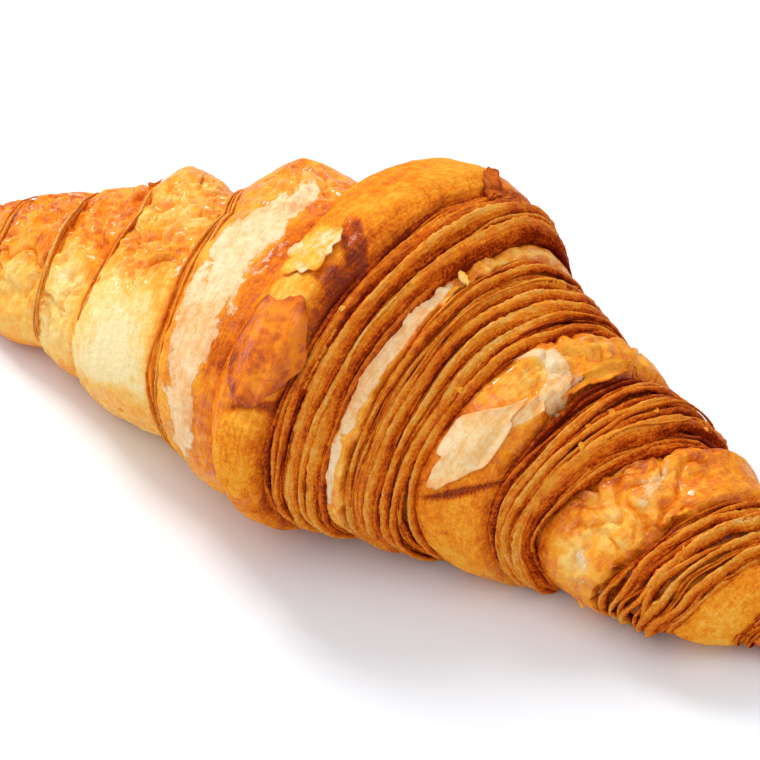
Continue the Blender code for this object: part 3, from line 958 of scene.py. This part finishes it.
# Sheets of skin that came loose: on a wrap's skin, at (mm, degrees), reach (mm along, mm round), how high the
# middle and the rim stand off it, and how deep its outline is cut in.
sheets = {
    "flakeCap": {
        "wrap": "centreWrap", "at": (-2.6, 19), "reach": (5.0, 4.4), "turn": 10, "lift": 0.5, "curl": 1.0,
        "jagged": 0.24, "pointed": 0.1, "bake": 0.26, "pale": 0.4, "gloss": 0.15, "seed": 5,
    },
    "redSheet": {
        "wrap": "centreWrap", "at": (-2.3, 50), "reach": (6.1, 9.8), "turn": 6, "lift": 0.25, "curl": 0.25,
        "jagged": 0.12, "pointed": 0.2, "bake": 0.64, "pale": 0.0, "gloss": 0.65, "seed": 30,
    },
    "beigeFlake": {
        "wrap": "thirdWrap", "at": (28.0, 44), "reach": (3.5, 10.0), "turn": 23, "lift": 0.55, "curl": 0.5,
        "jagged": 0.22, "pointed": 0.35, "pointedTop": 0.7, "bake": 0.20, "pale": 2.2, "gloss": 0.1, "seed": 8,
    },
    "edgeFlake": {
        "wrap": "thirdWrap", "at": (37.6, -17), "reach": (1.1, 6.5), "turn": 16, "lift": 0.15, "curl": 0.3,
        "jagged": 0.34, "pointed": 0.3, "bake": 0.40, "pale": 0.0, "gloss": 0.3, "seed": 12,
    },
    "tornTop": {
        "wrap": "centreWrap", "at": (9.0, -40), "reach": (2.2, 4.6), "turn": -28, "lift": 0.1, "curl": 0.5,
        "jagged": 0.4, "pointed": 0.3, "bake": 0.78, "pale": 0.0, "gloss": 0.1, "seed": 61,
    },
    "tornBehind": {
        "wrap": "centreWrap", "at": (13.6, -42), "reach": (0.9, 2.4), "turn": -28, "lift": 0.1, "curl": 0.8,
        "jagged": 0.5, "pointed": 0.2, "bake": 0.66, "pale": 0.0, "gloss": 0.2, "seed": 66,
    },
    "chipTop": {
        "wrap": "secondWrap", "at": (16.3, -1), "reach": (1.1, 0.8), "turn": 30, "lift": 0.5, "curl": 0.4,
        "jagged": 0.4, "pointed": 0.0, "bake": 0.18, "pale": 0.45, "gloss": 0.6, "seed": 40,
    },
    "chipLeft": {
        "wrap": "leftFourthWrap", "at": (-47.2, -33), "reach": (0.9, 0.6), "turn": -20, "lift": 0.3, "curl": 0.7,
        "jagged": 0.4, "pointed": 0.3, "bake": 0.58, "pale": 0.0, "gloss": 0.4, "seed": 47,
    },
}


def looseSheet(name, sheet):
    # a thin closed sheet on polar rings, bent over the wrap
    rays, rings, thick = 120, 16, 0.28
    bearing = 2 * np.pi * np.arange(rays) / rays
    cut = ripple(0 * bearing, bearing, 30, 9, sheet["seed"]) + 0.5 * ripple(0 * bearing, bearing, 30, 29, sheet["seed"] + 1)
    outline = 1 + sheet["jagged"] * cut
    share = (np.arange(rings) + 1) / rings
    share, bearings = np.meshgrid(share, bearing, indexing="ij")
    b = sheet["reach"][1] * share * outline * np.sin(bearings)
    low, high = sheet["pointed"], sheet.get("pointedTop", 0.5 * sheet["pointed"])
    narrowed = 1 - low * smooth(b / sheet["reach"][1]) - high * smooth(-b / sheet["reach"][1])
    a = sheet["reach"][0] * share * outline * np.cos(bearings) * narrowed
    turn = math.radians(sheet["turn"])
    x = sheet["at"][0] + a * math.cos(turn) - b * math.sin(turn)
    round_ = a * math.sin(turn) + b * math.cos(turn)
    x, round_ = np.append([sheet["at"][0]], x), np.append([0.0], round_)
    share = np.append([0.0], share)
    angle = math.radians(sheet["at"][1]) + round_ / loafSize(x)[0]
    along = alongAt(x, angle)
    wrap = wraps[sheet["wrap"]]
    onSkin = skinRise(wrap, along, angle, seeds[sheet["wrap"]])
    wavy = 0.4 * ripple(x * 2.4, round_ / 9, 6, 7, sheet["seed"] + 2) + 0.12 * ripple(x * 5, round_ / 9, 6, 19, sheet["seed"] + 4)
    curl = sheet["curl"] * smooth((share - 0.55) / 0.45) * (0.6 + 0.8 * ripple(0 * x, round_ / 6 + x / 5, 30, 9, sheet["seed"] + 3))
    rise = np.maximum(onSkin, -0.6) + sheet["lift"] + wavy * share + curl
    upper = toSpace(along, angle, rise)
    lower = toSpace(along, angle, rise - thick)
    count = len(x)
    j = np.arange(rays)
    following = (j + 1) % rays
    faces = [np.stack([0 * j, 1 + j, 1 + following], -1)]
    for k in range(rings - 1):
        near, far = 1 + k * rays, 1 + (k + 1) * rays
        faces.append(np.stack([near + j, far + j, far + following], -1))
        faces.append(np.stack([near + j, far + following, near + following], -1))
    faces = np.concatenate(faces)
    rim = 1 + (rings - 1) * rays
    sides = np.concatenate([
        np.stack([rim + j, count + rim + j, count + rim + following], -1),
        np.stack([rim + j, count + rim + following, rim + following], -1),
    ])
    faces = np.concatenate([faces, faces[:, ::-1] + count, sides])
    points = np.concatenate([upper, lower])
    values = {"along": np.tile(along, 2), "angle": np.tile(angle, 2), "rise": np.tile(rise, 2)}
    values["bake"] = np.tile(sheet["bake"] + 0.16 * smooth((share - 0.7) / 0.3), 2)
    for key in ("pale", "gloss"):
        values[key] = sheet[key]
    values["creaseshade"] = 0.0
    piece = meshPiece(name, points, faces, values)
    piece.data.materials.append(flakeCrust)
    return piece


flakes = {name: looseSheet(name, sheet) for name, sheet in sheets.items()}
report("loose sheets")


def crumbTree():
    # small bent chips of crust strewn over a surface
    tree, given, result = newTree(
        "strewnCrumbs",
        "GeometryNodeTree",
        [
            ("Surface", "NodeSocketGeometry", None),
            ("Per Square Metre", "NodeSocketFloat", 3500.0),
            ("Smallest", "NodeSocketFloat", 0.0003),
            ("Largest", "NodeSocketFloat", 0.0008),
            ("Thickness", "NodeSocketFloat", 0.35),
            ("Seed", "NodeSocketInt", 4),
            ("Material", "NodeSocketMaterial", None),
        ],
        [("Crumbs", "NodeSocketGeometry")],
    )
    g = given.outputs
    facing = addNode(tree, "ShaderNodeSeparateXYZ", {0: addNode(tree, "GeometryNodeInputNormal").outputs[0]}).outputs["Z"]
    strewn = addNode(
        tree, "GeometryNodeDistributePointsOnFaces",
        {"Mesh": g["Surface"], "Selection": maths(tree, "GREATER_THAN", facing, 0.25), "Density": g["Per Square Metre"], "Seed": g["Seed"]},
    )
    chip = addNode(tree, "GeometryNodeMeshIcoSphere", {"Radius": 1.0, "Subdivisions": 3})
    flat = addNode(tree, "ShaderNodeCombineXYZ", {"X": 1.0, "Y": 0.7, "Z": g["Thickness"]})
    chip = addNode(tree, "GeometryNodeTransform", {"Geometry": chip.outputs[0], "Scale": flat.outputs[0]}).outputs[0]
    lumps = addNode(tree, "ShaderNodeTexNoise", {"Scale": 1.6, "Detail": 2.0}).outputs[0]
    chip = moveAlongNormal(tree, chip, product(tree, added(tree, lumps, -0.5), 1.3))

    def random(kind, low, high, offset):
        made = addNode(tree, "FunctionNodeRandomValue", data_type=kind)
        sockets = [s for s in made.inputs if s.enabled and s.name in ("Min", "Max")]
        for socket, value in zip(sockets, (low, high)):
            if isinstance(value, bpy.types.NodeSocket):
                tree.links.new(value, socket)
            else:
                socket.default_value = value
        tree.links.new(maths(tree, "ADD", g["Seed"], offset), [s for s in made.inputs if s.name == "Seed"][0])
        return [s for s in made.outputs if s.enabled][0]

    size = random("FLOAT", g["Smallest"], g["Largest"], 1)
    spin = random("FLOAT_VECTOR", (-0.5, -0.5, -math.pi), (0.5, 0.5, math.pi), 2)
    placed = addNode(
        tree, "GeometryNodeInstanceOnPoints",
        {"Points": strewn.outputs["Points"], "Instance": chip, "Rotation": strewn.outputs["Rotation"], "Scale": size},
    )
    turned = addNode(tree, "GeometryNodeRotateInstances", {"Instances": placed.outputs[0], "Rotation": spin})
    finishTree(tree, turned.outputs[0], given, result)
    return tree


def looseCrumbs():
    # crumbs for each wrap, joined into one piece
    tree = crumbTree()
    rng = np.random.default_rng(21)
    points, faces, bakes, at = [], [], [], 0
    for number, source in enumerate([*bodies.values(), *bands.values()]):
        bare = bpy.data.objects.new("bare", source.data.copy())
        bpy.context.scene.collection.objects.link(bare)
        applyTree(bare, tree, {"Material": flakeCrust, "Seed": 4 + number})
        mesh = bare.data
        if len(mesh.polygons):
            corners = np.zeros(len(mesh.polygons) * 3, np.int32)
            mesh.polygons.foreach_get("vertices", corners)
            points.append(readPoints(mesh))
            faces.append(corners.reshape(-1, 3) + at)
            bakes.append(0.35 + 0.1 * rng.uniform(-1, 1) + 0 * points[-1][:, 0])
            at += len(mesh.vertices)
        bpy.data.objects.remove(bare)
        bpy.data.meshes.remove(mesh)
    values = {"bake": np.concatenate(bakes), "gloss": 0.3, "pale": 0.0, "creaseshade": 0.0}
    piece = meshPiece("looseCrumbs", np.concatenate(points), np.concatenate(faces), values)
    piece.data.materials.append(flakeCrust)
    return piece


crumbs = looseCrumbs()
report("crumbs")

pieces = [*bodies.values(), *bands.values(), *flakes.values(), crumbs]
for piece in pieces:
    points = readPoints(piece.data)
    points[:, 2] = np.maximum(points[:, 2], 0)  # nothing sinks into the floor
    piece.data.vertices.foreach_set("co", points.ravel())
    piece.data.update()
    piece.data.shade_smooth()
    if piece in bodies.values():
        piece.data.set_sharp_from_angle(angle=math.radians(55))
    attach(piece, "root")
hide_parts("croissant")

studio = {"floorSize": 3.0, "floorColour": (0.85, 0.88, 0.91), "worldColour": (0.94, 0.97, 1.0), "worldStrength": 0.70}
floorMaterial = bpy.data.materials.new("paleFloor")
floorMaterial.use_nodes = True
floorShader = floorMaterial.node_tree.nodes["Principled BSDF"]
floorShader.inputs["Base Color"].default_value = (*studio["floorColour"], 1)
floorShader.inputs["Roughness"].default_value = 0.6
half = studio["floorSize"] / 2
floor = meshPiece("floor", [(-half, -half, 0), (half, -half, 0), (half, half, 0), (-half, half, 0)], [(0, 1, 2, 3)])
floor.data.materials.append(floorMaterial)

scene = bpy.context.scene
world = bpy.data.worlds.new("studio")
scene.world = world
world.use_nodes = True
background = world.node_tree.nodes["Background"]
background.inputs["Color"].default_value = (*studio["worldColour"], 1)
background.inputs["Strength"].default_value = studio["worldStrength"]
scene.view_settings.view_transform = "Standard"


def areaLight(name, at, aim, size, power, colour):
    light = bpy.data.lights.new(name, "AREA")
    light.shape = "RECTANGLE"
    light.size, light.size_y = size
    light.energy = power
    light.color = colour
    lamp = bpy.data.objects.new(name, light)
    lamp.location = at
    lamp.rotation_euler = (Vector(aim) - Vector(at)).to_track_quat("-Z", "Y").to_euler()
    scene.collection.objects.link(lamp)


areaLight("overhead", (0.0, -0.38, 1.10), (0, 0, 0.02), (0.9, 0.9), 4.2, (0.98, 0.99, 1.0))
areaLight("window", (-0.66, 0.20, 0.84), (0, 0, 0.02), (0.30, 0.30), 6.0, (1.0, 0.99, 0.97))

view = {"azimuth": 32.4, "elevation": 45.9, "distance": 0.4775, "aim": (-0.0001, 0.0079, 0.0080), "lens": 141.2}
azimuth, elevation = math.radians(view["azimuth"]), math.radians(view["elevation"])
away = Vector((math.sin(azimuth) * math.cos(elevation), -math.cos(azimuth) * math.cos(elevation), math.sin(elevation)))
lens = bpy.data.cameras.new("camera")
lens.lens = view["lens"]
lens.sensor_width = 36.0
lens.clip_start = 0.01
camera = bpy.data.objects.new("camera", lens)
camera.location = away * view["distance"] + Vector((acrossLoaf * mm, 0, 0))
camera.rotation_euler = (Vector(view["aim"]) - camera.location).to_track_quat("-Z", "Y").to_euler()
scene.collection.objects.link(camera)
scene.camera = camera

print("triangles", {p.name: sum(len(f.vertices) - 2 for f in p.data.polygons) for p in pieces})
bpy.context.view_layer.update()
report("ready")
